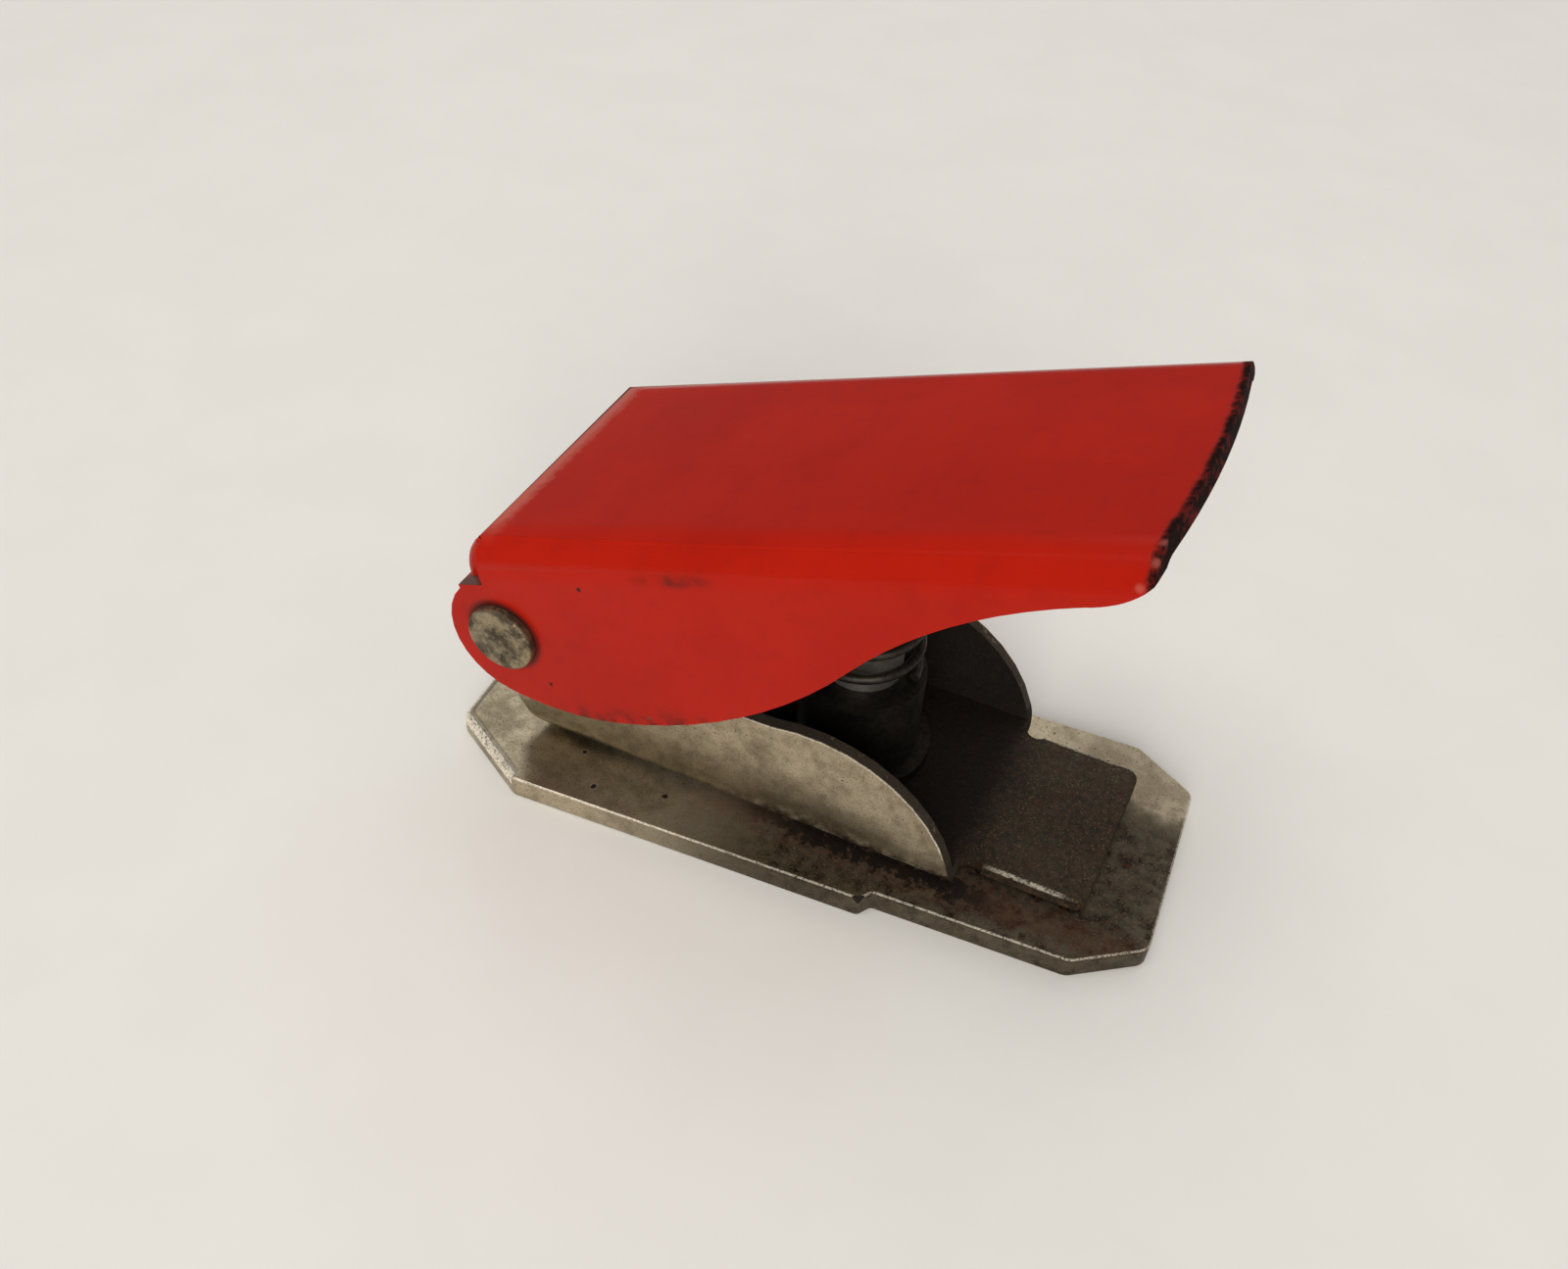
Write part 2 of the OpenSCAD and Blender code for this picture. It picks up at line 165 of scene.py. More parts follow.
def relief(tree, shader, height, strength, depth):
    node = tree.nodes.new("ShaderNodeBump")
    put(tree, node.inputs["Height"], height)
    node.inputs["Strength"].default_value = strength
    node.inputs["Distance"].default_value = depth * mm
    tree.links.new(node.outputs[0], shader.inputs["Normal"])


# nickel plate gone dull: soft clouds, a fine dark grain, a brown film, small pits and rust
nickel = dict(
    bright=(0.62, 0.535, 0.385), dull=(0.31, 0.255, 0.172), film=(0.036, 0.022, 0.0125), rust=(0.066, 0.024, 0.011),
    black=(0.010, 0.007, 0.005), paintedShade=(0.005, 0.004, 0.0035), fleck=(0.16, 0.125, 0.068), wearAndSheen=(0.90, 0.83, 0.69),
    cloud=6.0, mottle=1.1, crust=0.5, grain=0.17, pit=0.34,
    cloudShare=0.55, wearAt=(0.36, 0.64), grainAt=(0.48, 0.68), grainTint=0.40,
    brownAt=(0.41, 0.60), fleckAt=(0.57, 0.66), fleckTint=0.70, pitAt=(0.65, 0.72), pitTint=0.8,
    scabAt=(0.45, 0.95), scabGrain=(0.62, 0.70), shineGrain=(0.34, 0.54), shineMottle=(0.24, 0.46), shineLost=0.65,
    filmMetal=0.55, dirtAndShadeMetal=0.95, shineMetal=0.6, gloss=0.12,
    rough=(0.40, 0.25), filmRough=0.18, dirtAndShadeRough=0.35, bumpGrain=(0.6, 3.6), bump=0.4, bumpDepth=0.02,
)


# soil tells where this piece has film, rust and painted shade, and where its rubbed edges carry a painted highlight
def nickelPlate(name, soil, bright=nickel["bright"]):
    s = nickel
    mat, tree, shader, coords = startMaterial(name)
    cloud = noise(tree, coords, s["cloud"], 4.0, 0.55)
    mottle = noise(tree, coords, s["mottle"], 6.0, 0.62)
    crust = noise(tree, coords, s["crust"], 6.0, 0.70)
    grain = noise(tree, coords, s["grain"], 3.0, 0.6)
    pit = noise(tree, coords, s["pit"], 4.0, 0.6)
    film, rust, paintedShade, glint = soil(tree, coords, mottle, crust)

    wear = calc(tree, "ADD", times(tree, cloud, s["cloudShare"]), times(tree, mottle, 1 - s["cloudShare"]))
    colour = tint(tree, fade(tree, wear, *s["wearAt"]), s["dull"], bright)
    colour = tint(tree, times(tree, fade(tree, grain, *s["grainAt"]), s["grainTint"]), colour, s["film"])
    brown = tint(tree, fade(tree, crust, *s["brownAt"]), s["black"], s["film"])
    brown = tint(tree, times(tree, fade(tree, grain, *s["fleckAt"]), s["fleckTint"]), brown, s["fleck"])
    colour = tint(tree, film, colour, brown)
    pits = times(tree, fade(tree, pit, *s["pitAt"]), s["pitTint"])
    colour = tint(tree, pits, colour, s["black"])
    scab = tint(tree, fade(tree, rust, *s["scabAt"]), s["rust"], s["black"])
    scab = tint(tree, fade(tree, grain, *s["scabGrain"]), scab, s["rust"])
    colour = tint(tree, rust, colour, scab)
    # painted shade, which darkens the frame's channel
    colour = tint(tree, paintedShade, colour, s["paintedShade"])
    # rubbed edges are worn bright and also carry a painted highlight
    kept = calc(tree, "SUBTRACT", 1.0, times(tree, film, s["shineLost"]))
    worn = times(tree, fade(tree, grain, *s["shineGrain"]), fade(tree, mottle, *s["shineMottle"]))
    shine = times(tree, painted(tree, "wearAndSheen"), worn, kept, glint)
    put(tree, shader.inputs["Base Color"], tint(tree, shine, colour, s["wearAndSheen"]))

    # rust, pits and the painted shade together take away metal and gloss
    dirtAndShade = most(tree, rust, pits, paintedShade)
    lost = calc(tree, "ADD", times(tree, film, s["filmMetal"]), times(tree, dirtAndShade, s["dirtAndShadeMetal"]))
    metal = calc(tree, "SUBTRACT", 1.0, lost, True)
    put(tree, shader.inputs["Metallic"], calc(tree, "SUBTRACT", metal, times(tree, shine, s["shineMetal"]), True))
    shader.inputs["Specular IOR Level"].default_value = s["gloss"]
    rough = calc(tree, "ADD", span(tree, wear, *s["rough"]), times(tree, film, s["filmRough"]))
    put(tree, shader.inputs["Roughness"], calc(tree, "ADD", rough, times(tree, dirtAndShade, s["dirtAndShadeRough"]), True))
    height = times(tree, grain, span(tree, painted(tree, "wearAndSheen"), *s["bumpGrain"]))
    relief(tree, shader, calc(tree, "SUBTRACT", height, dirtAndShade), s["bump"], s["bumpDepth"])
    return mat


# red enamel: nearly even, worn to dark steel at the front edge, chipped and grimed
# u, y and v are the lever's own directions: forward, to the left and up from the pivot, in mm
enamel = dict(
    red=(0.415, 0.0110, 0.0030), deep=(0.372, 0.0092, 0.0028), grimeAndShade=(0.030, 0.010, 0.008), bare=(0.15, 0.075, 0.06),
    dark=(0.011, 0.0045, 0.004), wearAndSheen=(0.50, 0.125, 0.095), inside=(0.080, 0.007, 0.006),
    reach=49.4, bow=75.0, open=20.0, pivotHeight=14.4,
    cloud=9.0, mottle=1.5, grain=0.22, flake=0.5, evenAt=(0.34, 0.66), grimeAt=(0.48, 0.74), grimeTint=0.10,
    lowV=(-5.6, -7.9), lowAt=(0.38, 0.62), lowTint=0.75,
    smudge=(16.8, -12.45, 5.25), smudgeStretch=0.16, smudgeReach=(0.10, 0.6), smudgeAt=(0.36, 0.60), smudgeTint=0.6,
    specks=((8.73, -12.5, 4.35), (2.3, -12.5, -4.4)), speckReach=(0.10, 0.14), ring=(3.35, 2.75), ringGrimeShadeTint=0.8,
    farBendShadeY=(10.9, 11.8), farBendShadeV=(2.0, 4.5), farBendShadeTint=0.3,
    rearTear=1.2, rearU=(2.3, 0.9), rearV=(3.6, 5.5), rearY=(-11.5, -8.5), rearWearSheenTint=0.8, insideTint=(0.6, 1.0),
    wornBand=0.30, wornEdge=(0.42, -0.06), wornAt=(0.80, 1.02), wornTint=(0.72, 1.0),
    rimAt=(0.72, 0.98), rimTint=0.93, lowRimAt=(0.90, 1.15), lowRimTint=0.7, steelAt=(0.58, 0.72), steelTint=0.4,
    paintedGlints=((48.62, -10.2, 7.6), (48.38, -11.3, 7.0), (47.6, -12.2, 5.9)), chipReach=(0.10, 0.30), chipTint=0.45,
    pale=(10.24, -12.5, -6.91), paleReach=(0.08, 0.10), bareAt=(0.28, 0.52), bareGrain=(0.5, 1.0), bareTint=0.9,
    wornMetal=0.2, bareMetal=0.6, gloss=0.11, rough=0.18, wornRough=0.8, dirtAndShadeRough=0.32, mottleRough=0.10,
    bumpCloud=0.5, bump=0.2, bumpDepth=0.04,
)


def redEnamel(name):
    s = enamel
    mat, tree, shader, coords = startMaterial(name)
    tilt = math.radians(s["open"])
    rise = s["pivotHeight"] * mm
    level = mapped(tree, coords, (-rise * math.sin(tilt), 0, -rise * math.cos(tilt)), (0, tilt, 0))
    u, y, v = split(tree, level)
    cloud = noise(tree, level, s["cloud"], 4.0, 0.5)
    mottle = noise(tree, level, s["mottle"], 5.0, 0.6)
    grain = noise(tree, level, s["grain"], 2.0, 0.5)
    flake = noise(tree, level, s["flake"], 5.0, 0.65)
    torn = calc(tree, "ADD", mottle, flake)
    colour = tint(tree, fade(tree, cloud, *s["evenAt"]), s["deep"], s["red"])

    # dirt along the cheeks' lower edge, in a smudge and in specks; grime with painted shade round the pivot's head,
    # and painted shade on the far bend
    low = times(tree, fadeAlong(tree, v, s["lowV"]), fade(tree, mottle, *s["lowAt"]), s["lowTint"])
    k = s["smudgeStretch"]
    drawn = mapped(tree, level, scale=(k, 1, 1))
    smudge = mark(tree, drawn, (s["smudge"][0] * k, *s["smudge"][1:]), *s["smudgeReach"], mottle)
    smudge = times(tree, smudge, fade(tree, mottle, *s["smudgeAt"]), s["smudgeTint"])
    specks = most(tree, *[mark(tree, level, p, *s["speckReach"], grain) for p in s["specks"]])
    # a dark ring round the pivot's head: partly grime, partly painted shade in the gap under the head
    away = calc(tree, "SQRT", calc(tree, "ADD", times(tree, u, u), times(tree, v, v)))
    ring = times(tree, fadeAlong(tree, away, s["ring"]), s["ringGrimeShadeTint"])
    # painted shade along the far bend
    farBendShade = times(tree, fadeAlong(tree, y, s["farBendShadeY"]), fadeAlong(tree, v, s["farBendShadeV"]), s["farBendShadeTint"])
    dirtAndShade = most(tree, low, smudge, specks, ring, farBendShade)
    colour = tint(tree, times(tree, fade(tree, mottle, *s["grimeAt"]), s["grimeTint"]), colour, s["grimeAndShade"])
    colour = tint(tree, dirtAndShade, colour, s["grimeAndShade"])

    # the roll at the rear is painted pale: partly worn paint, partly a painted highlight along the roll
    edge = calc(tree, "ADD", u, times(tree, calc(tree, "SUBTRACT", torn, 1.0), s["rearTear"] * mm))
    rear = times(tree, fadeAlong(tree, edge, s["rearU"]), fadeAlong(tree, v, s["rearV"]))
    rear = times(tree, rear, fadeAlong(tree, y, s["rearY"]), s["rearWearSheenTint"])
    colour = tint(tree, rear, colour, s["wearAndSheen"])
    inner = times(tree, painted(tree, "inner"), span(tree, mottle, *s["insideTint"]))
    colour = tint(tree, inner, colour, s["inside"])

    # the front edge is bowed, so the worn band is measured from that bow
    bow = times(tree, y, y, 1.0 / (2 * s["bow"] * mm))
    back = calc(tree, "SUBTRACT", s["reach"] * mm, calc(tree, "ADD", u, bow))
    band = times(tree, torn, s["wornBand"] * mm)
    worn = fadeAlong(tree, calc(tree, "SUBTRACT", back, band), s["wornEdge"])
    worn = most(tree, worn, times(tree, painted(tree, "rim"), fade(tree, torn, *s["rimAt"]), s["rimTint"]))
    worn = times(tree, worn, span(tree, fade(tree, torn, *s["wornAt"]), *s["wornTint"]))
    lowRim = times(tree, painted(tree, "lowRim"), fade(tree, torn, *s["lowRimAt"]), s["lowRimTint"])
    worn = most(tree, worn, lowRim)
    under = tint(tree, times(tree, fade(tree, grain, *s["steelAt"]), s["steelTint"]), s["dark"], nickel["film"])
    colour = tint(tree, worn, colour, under)
    # painted highlights: three small pale pink glints near the near front corner
    paintedGlints = most(tree, *[mark(tree, level, p, *s["chipReach"], flake) for p in s["paintedGlints"]])
    colour = tint(tree, times(tree, paintedGlints, s["chipTint"]), colour, s["wearAndSheen"])
    notch = times(tree, painted(tree, "chip"), fade(tree, mottle, *s["bareAt"]))
    bare = most(tree, mark(tree, level, s["pale"], *s["paleReach"]), notch)
    bare = times(tree, bare, span(tree, grain, *s["bareGrain"]), s["bareTint"])
    put(tree, shader.inputs["Base Color"], tint(tree, bare, colour, s["bare"]))

    metal = most(tree, times(tree, worn, s["wornMetal"]), times(tree, bare, s["bareMetal"]))
    put(tree, shader.inputs["Metallic"], metal)
    soft = most(tree, times(tree, worn, s["wornRough"]), times(tree, most(tree, dirtAndShade, bare, rear), s["dirtAndShadeRough"]))
    rough = calc(tree, "ADD", times(tree, mottle, s["mottleRough"]), soft)
    put(tree, shader.inputs["Roughness"], calc(tree, "ADD", rough, s["rough"], True))
    shader.inputs["Specular IOR Level"].default_value = s["gloss"]
    relief(tree, shader, calc(tree, "SUBTRACT", times(tree, cloud, s["bumpCloud"]), worn), s["bump"], s["bumpDepth"])
    return mat


# dark worked steel for the pieces under the lever; the dull and spring steel are near black, partly as painted shade
steel = dict(
    dull=dict(colour=(0.034, 0.028, 0.022), dark=(0.012, 0.010, 0.008), rough=0.55, scale=(1, 1, 1)),
    ground=dict(colour=(0.40, 0.385, 0.35), dark=(0.22, 0.205, 0.18), rough=0.34, scale=(1, 1, 6)),
    spring=dict(colour=(0.052, 0.044, 0.036), dark=(0.019, 0.016, 0.013), rough=0.50, scale=(1, 1, 1)),
    lines=0.5, cloud=2.2, linesShare=0.45, shadeAt=(0.36, 0.64),
    metal=0.85, roughSpread=0.1, bump=0.2, bumpDepth=0.01,
)


def workedSteel(kind):
    s = steel
    own = steel[kind]
    mat, tree, shader, coords = startMaterial(kind + "Steel")
    lines = noise(tree, mapped(tree, coords, scale=own["scale"]), s["lines"], 3.0, 0.6)
    cloud = noise(tree, coords, s["cloud"], 4.0, 0.6)
    shade = calc(tree, "ADD", times(tree, lines, s["linesShare"]), times(tree, cloud, 1 - s["linesShare"]))
    put(tree, shader.inputs["Base Color"], tint(tree, fade(tree, shade, *s["shadeAt"]), own["dark"], own["colour"]))
    shader.inputs["Metallic"].default_value = s["metal"]
    spread = s["roughSpread"]
    put(tree, shader.inputs["Roughness"], span(tree, shade, own["rough"] + spread, own["rough"] - spread))
    relief(tree, shader, lines, s["bump"], s["bumpDepth"])
    return mat


print("finishes ready")


# pieces: a merged copy of a solid with its edges broken, standing for the node
faceMarks = ("wearAndSheen", "chip", "inner", "rim", "lowRim")


def workCopy(nodeName, weld=0.01):
    bm = bmesh.new()
    bm.from_mesh(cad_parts[nodeName].data)
    bmesh.ops.remove_doubles(bm, verts=bm.verts, dist=weld * mm)
    bmesh.ops.dissolve_degenerate(bm, edges=bm.edges, dist=weld * mm)
    bmesh.ops.dissolve_limit(
        bm, angle_limit=math.radians(0.6), verts=bm.verts, edges=bm.edges, use_dissolve_boundaries=False
    )
    for name in faceMarks:  # layers come first, since a new one drops what was picked before it
        bm.faces.layers.float.new(name)
    return bm


def sharpEdges(bm, wanted, least=50.0):
    return [
        e for e in bm.edges
        if len(e.link_faces) == 2 and e.calc_face_angle() > math.radians(least) and wanted(e)
    ]


def middle(edge):
    return (edge.verts[0].co + edge.verts[1].co) / 2


def faceMark(bm, name, faces, amount=1.0):
    layer = bm.faces.layers.float[name]
    for face in faces:
        face[layer] = amount


def breakEdges(bm, geometry, width, segments, name="wearAndSheen", affect="EDGES", amount=1.0):
    made = bmesh.ops.bevel(
        bm, geom=geometry, offset=width * mm, offset_type="OFFSET", affect=affect, segments=segments,
        profile=0.5, material=-1, clamp_overlap=False, loop_slide=True,
    )
    faceMark(bm, name, made["faces"], amount)


def finishPiece(bm, pieceName, nodeName, body, mat, crease=32.0):
    mesh = bpy.data.meshes.new(pieceName)
    bm.to_mesh(mesh)
    bm.free()
    mesh.polygons.foreach_set("use_smooth", [True] * len(mesh.polygons))
    mesh.set_sharp_from_angle(angle=math.radians(crease))
    mesh.materials.append(mat)
    piece = bpy.data.objects.new(pieceName, mesh)
    bpy.context.scene.collection.objects.link(piece)
    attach(piece, body)
    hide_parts(nodeName)
    return piece


def evenShading(piece):
    weigh = piece.modifiers.new("evenShading", "WEIGHTED_NORMAL")
    weigh.keep_sharp = True
    weigh.weight = 100


# base plate: well rolled round its rear end, only broken along the other edges
basePlate = dict(
    roll=0.95, rollSteps=6, rollGain=5, burr=0.13, burrShine=0.85, thick=1.9,
    chipAt=(29.95, -13.45), chipReach=0.75, chip=0.62, chipTint=0.95, holeX=23.5, holeReach=5.0,
    topZ=(1.4, 1.8), nearY=(8.5, 2.5), nearTear=5.0,
    filmX=(1.0, 24.0), film=(0.58, 1.24), sideFilm=(0.95, 1.0), endFilmX=(30.0, 40.0), endFilm=(0.1, 0.5),
    footY=-9.3, creep=9.0, mottleShare=0.45,
    belt=(2.1, 0.5), beltX=(8.0, 26.0), beltEndX=(35.0, 42.0), beltEnd=(1.0, 0.45),
    frontX=(32.0, 44.0), frontAt=(0.53, 0.66), frontTint=0.4,
    spots=((7.05, -13.0, 1.9), (4.62, -10.2, 1.9), (12.5, -11.3, 1.9)), spotReach=(0.16, 0.20),
)


def baseSoil(tree, coords, mottle, crust):
    s = basePlate
    x, y, z = split(tree, coords)
    onTop = fadeAlong(tree, z, s["topZ"])
    tear = times(tree, calc(tree, "SUBTRACT", mottle, 0.5), s["nearTear"] * mm)
    near = fadeAlong(tree, calc(tree, "ADD", y, tear), s["nearY"])
    # the plate is darker brown over its near half, from the left end on, and in part at its right end
    film = times(tree, fadeAlong(tree, x, s["filmX"]), near, span(tree, mottle, *s["film"]))
    film = times(tree, film, span(tree, onTop, *s["sideFilm"]))
    film = most(tree, film, times(tree, fadeAlong(tree, x, s["endFilmX"]), span(tree, mottle, *s["endFilm"])))
    # rust creeps out from under the frame's foot, thinning to grains
    share = s["mottleShare"]
    ragged = calc(tree, "ADD", times(tree, mottle, share), times(tree, crust, 1 - share))
    out = calc(tree, "ABSOLUTE", calc(tree, "SUBTRACT", y, s["footY"] * mm))
    out = calc(tree, "ADD", out, times(tree, calc(tree, "SUBTRACT", 0.5, ragged), s["creep"] * mm))
    rust = times(tree, fadeAlong(tree, out, s["belt"]), fadeAlong(tree, x, s["beltX"]))
    rust = times(tree, rust, span(tree, fadeAlong(tree, x, s["beltEndX"]), *s["beltEnd"]))
    front = times(tree, fadeAlong(tree, x, s["frontX"]), near, fade(tree, ragged, *s["frontAt"]), s["frontTint"])
    spots = most(tree, *[mark(tree, coords, p, *s["spotReach"], crust) for p in s["spots"]])
    rust = times(tree, most(tree, rust, front, spots), onTop)
    rust = most(tree, rust, times(tree, painted(tree, "chip"), s["chipTint"]))
    return film, rust, 0.0, 1.0


def sideNormal(edge):
    return next((f.normal for f in edge.link_faces if abs(f.normal.z) < 0.3), None)


def topEdge(edge):
    s = basePlate
    m = middle(edge) / mm
    flat = any(f.normal.z > 0.9 for f in edge.link_faces)
    inHole = (m.xy - Vector((s["holeX"], 0))).length < s["holeReach"]
    return flat and sideNormal(edge) is not None and not inHole and m.z > s["thick"] / 2


def makeBase():
    s = basePlate
    bm = workCopy("base_plate")
    # the near step's upper corner is drawn to a point and knocked off
    corner = Vector((*s["chipAt"], s["thick"])) * mm
    reach = s["chipReach"] * mm
    top = [v for v in bm.verts if v.co.z > 0.9 * corner.z and (v.co.xy - corner.xy).length < reach]
    bmesh.ops.pointmerge(bm, verts=top, merge_co=sum((v.co for v in top), Vector()) / len(top))
    point = min(bm.verts, key=lambda v: (v.co - corner).length)
    breakEdges(bm, [point], s["chip"], 1, "chip", "VERTICES")
    rolled = sharpEdges(bm, lambda e: topEdge(e) and sideNormal(e).x < -0.3)
    breakEdges(bm, rolled, s["roll"], s["rollSteps"])
    # on the rolled edge the bright rubbed colour is partly a painted highlight, strongest at the turn
    shine = bm.faces.layers.float["wearAndSheen"]
    for face in bm.faces:  # bright at the turn, fading into the flat
        face[shine] *= min(1.0, s["rollGain"] * (1 - face.normal.z))
    breakEdges(bm, sharpEdges(bm, topEdge), s["burr"], 3, amount=s["burrShine"])
    piece = finishPiece(bm, "basePlate", "base_plate", "body", nickelPlate("baseNickel", baseSoil))
    evenShading(piece)


# frame: one bent sheet, bright outside, dark and dirty inside and on the tongue, with painted shade in the channel,
# brown on its rims
frameSheet = dict(
    footX=35.3, endX=44.4, webTop=3.35, cheekIn=8.7, cheekOut=9.7,
    tongueRoll=0.26, tongueRoot=1.8, cheekEdge=0.09, cheekShine=0.6, cheekFoot=0.6,
    film=(0.90, 1.0), rimAt=(0.20, 0.42), rimTint=0.92,
    lowZ=(4.6, 2.6), lowX=(12.0, 26.0), lowAt=(0.66, 0.96), lowTint=0.5,
    paintedShadeX=35.6, paintedShadeTear=3.0, paintedShadeFade=(2.5, -1.5), paintedShadeTint=0.85, glintX=(36.8, 39.2), glintEndX=(44.1, 42.6),
)


def frameSoil(tree, coords, mottle, crust):
    s = frameSheet
    inner = painted(tree, "inner")
    # the inner faces and the tongue take the dark brown film; inside the channel it is partly painted shade
    film = times(tree, inner, span(tree, mottle, *s["film"]))
    rim = times(tree, painted(tree, "rim"), fade(tree, mottle, *s["rimAt"]), s["rimTint"])
    x, y, z = split(tree, coords)
    ragged = calc(tree, "ADD", mottle, times(tree, crust, 0.5))
    low = times(tree, fadeAlong(tree, z, s["lowZ"]), fade(tree, ragged, *s["lowAt"]))
    low = times(tree, low, fadeAlong(tree, x, s["lowX"]), s["lowTint"])
    # painted shade fills the channel and thins out at the tongue's root
    tear = times(tree, calc(tree, "SUBTRACT", mottle, 0.5), s["paintedShadeTear"] * mm)
    ahead = calc(tree, "ADD", calc(tree, "SUBTRACT", x, s["paintedShadeX"] * mm), tear)
    paintedShade = times(tree, inner, fadeAlong(tree, ahead, s["paintedShadeFade"]), s["paintedShadeTint"])
    # painted highlight: the tongue's near edge is bright, less so towards its ends
    glint = times(tree, fadeAlong(tree, x, s["glintX"]), fadeAlong(tree, x, s["glintEndX"]))
    glint = most(tree, glint, fadeAlong(tree, x, (s["footX"], s["footX"] - 1)))
    return film, most(tree, rim, low), paintedShade, glint


def insideFrame(face):
    c, n = face.calc_center_median() / mm, face.normal
    towards = n.y * (1 if c.y > 0 else -1)
    onTongue = c.x > frameSheet["footX"] and n.z > -0.5
    onWeb = n.z > 0.2 and abs(c.y) < frameSheet["cheekIn"] - 0.05
    return onTongue or towards < -0.3 or onWeb


def frameRim(face):
    c, n = face.calc_center_median() / mm, face.normal
    s = frameSheet
    onCheek = s["cheekIn"] < abs(c.y) < s["cheekOut"] and c.z > s["webTop"] - 1 and c.x < s["footX"]
    return abs(n.y) < 0.3 and onCheek


def makeFrame():
    s = frameSheet
    bm = workCopy("frame", 0.02)

    def tongueTop(edge):
        m = middle(edge) / mm
        flat = any(f.normal.z > 0.9 for f in edge.link_faces)
        return flat and m.x > s["footX"] + s["tongueRoot"] and m.z > s["webTop"] - 0.1

    def cheekTop(edge):
        m = middle(edge) / mm
        outer = any(abs(f.normal.y) > 0.9 for f in edge.link_faces)
        return outer and abs(m.y) > s["cheekOut"] - 0.05 and m.z > s["webTop"] + s["cheekFoot"]

    breakEdges(bm, sharpEdges(bm, tongueTop), s["tongueRoll"], 4)
    breakEdges(bm, sharpEdges(bm, cheekTop), s["cheekEdge"], 2, amount=s["cheekShine"])
    # the tongue's end edges get no bright rubbed colour, so no painted highlight
    faceMark(bm, "wearAndSheen", [f for f in bm.faces if f.calc_center_median().x > s["endX"] * mm], 0.0)
    faceMark(bm, "inner", [f for f in bm.faces if insideFrame(f)])
    faceMark(bm, "rim", [f for f in bm.faces if frameRim(f)])
    piece = finishPiece(bm, "frameSheet", "frame", "body", nickelPlate("frameNickel", frameSoil))
    evenShading(piece)


# lever: one pressed sheet, lying open at rest; the tests below look at it lying level
leverSheet = dict(
    open=20.0, pivotHeight=14.4, inHalf=11.3, rollAt=(1.6, 3.85), rollIn=2.6, rollEnd=0.7,
    roofFrom=2.0, frontFrom=40.0, lowTo=5.0, notchFrom=-0.5, ledgeTo=1.2, ledgeZ=(2.0, 6.0),
)


def makeLever():
    s = leverSheet
    bm = workCopy("lever", 0.03)
    level = Matrix.Rotation(math.radians(s["open"]), 3, "Y")
    pivot = Vector((0, 0, s["pivotHeight"] * mm))

    def lying(face):
        return level @ (face.calc_center_median() - pivot) / mm, level @ face.normal

    def inside(face):
        c, n = lying(face)
        inRoll = (c.xz - Vector(s["rollAt"])).length < s["rollIn"] + 0.2 and c.x < s["rollAt"][0]
        under = n.z < -0.3 and abs(c.y) < s["inHalf"] + 0.05 and c.z > s["roofFrom"]
        inward = n.y * (1 if c.y > 0 else -1) < -0.3
        return inRoll and abs(n.y) < 0.5 or under or inward

    def frontRim(face):
        c, n = lying(face)
        return n.x > 0.6 and c.x > s["frontFrom"]

    def lowRim(face):
        c, n = lying(face)
        return abs(n.y) < 0.3 and abs(c.y) > s["inHalf"] and c.z < s["lowTo"] and n.z < 0.3

    def notchWall(face):
        c, n = lying(face)
        wall = n.x < -0.6 and c.z > s["rollAt"][1] and c.x > s["notchFrom"]
        ledge = n.z > 0.6 and c.x < s["ledgeTo"] and s["ledgeZ"][0] < c.z < s["ledgeZ"][1]
        return (wall or ledge) and abs(c.y) > s["inHalf"]

    def rollEnd(edge):
        m = level @ (middle(edge) - pivot) / mm
        outer = (m.xz - Vector(s["rollAt"])).length > s["rollIn"] + 0.8
        return outer and m.x < s["rollAt"][0] + 0.6 and m.z > 0 and abs(abs(m.y) - s["inHalf"]) < 0.05

    breakEdges(bm, sharpEdges(bm, rollEnd), s["rollEnd"], 4)
    for name, test in (("inner", inside), ("rim", frontRim), ("lowRim", lowRim), ("chip", notchWall)):
        faceMark(bm, name, [f for f in bm.faces if test(f)])
    piece = finishPiece(bm, "leverSheet", "lever", "lever", redEnamel("leverEnamel"))
    evenShading(piece)


# pivot rivet: mottled nickel, half of it gone brown
pivotRivet = dict(
    bright=(0.42, 0.34, 0.205), blotch=1.7, brownAt=(0.37, 0.57), film=(0.65, 1.1), rustAt=(0.62, 0.72), rustTint=0.7,
)


def rivetSoil(tree, coords, mottle, crust):
    s = pivotRivet
    blotch = noise(tree, coords, s["blotch"], 5.0, 0.65)
    film = times(tree, fade(tree, blotch, *s["brownAt"]), span(tree, mottle, *s["film"]))
    return film, times(tree, fade(tree, crust, *s["rustAt"]), s["rustTint"]), 0.0, 1.0


def makePlain(nodeName, pieceName, body, mat):
    finishPiece(workCopy(nodeName), pieceName, nodeName, body, mat)


# return spring: round wire screwed up from one ring; in the real punch it is squeezed as the punch goes down
springWire = dict(
    wire=0.8, coil=8.2, curls=6, low=12.05, high=25.95, x=23.5, foot=11.65, sides=14, stepsACurl=40, keep=0.597
)


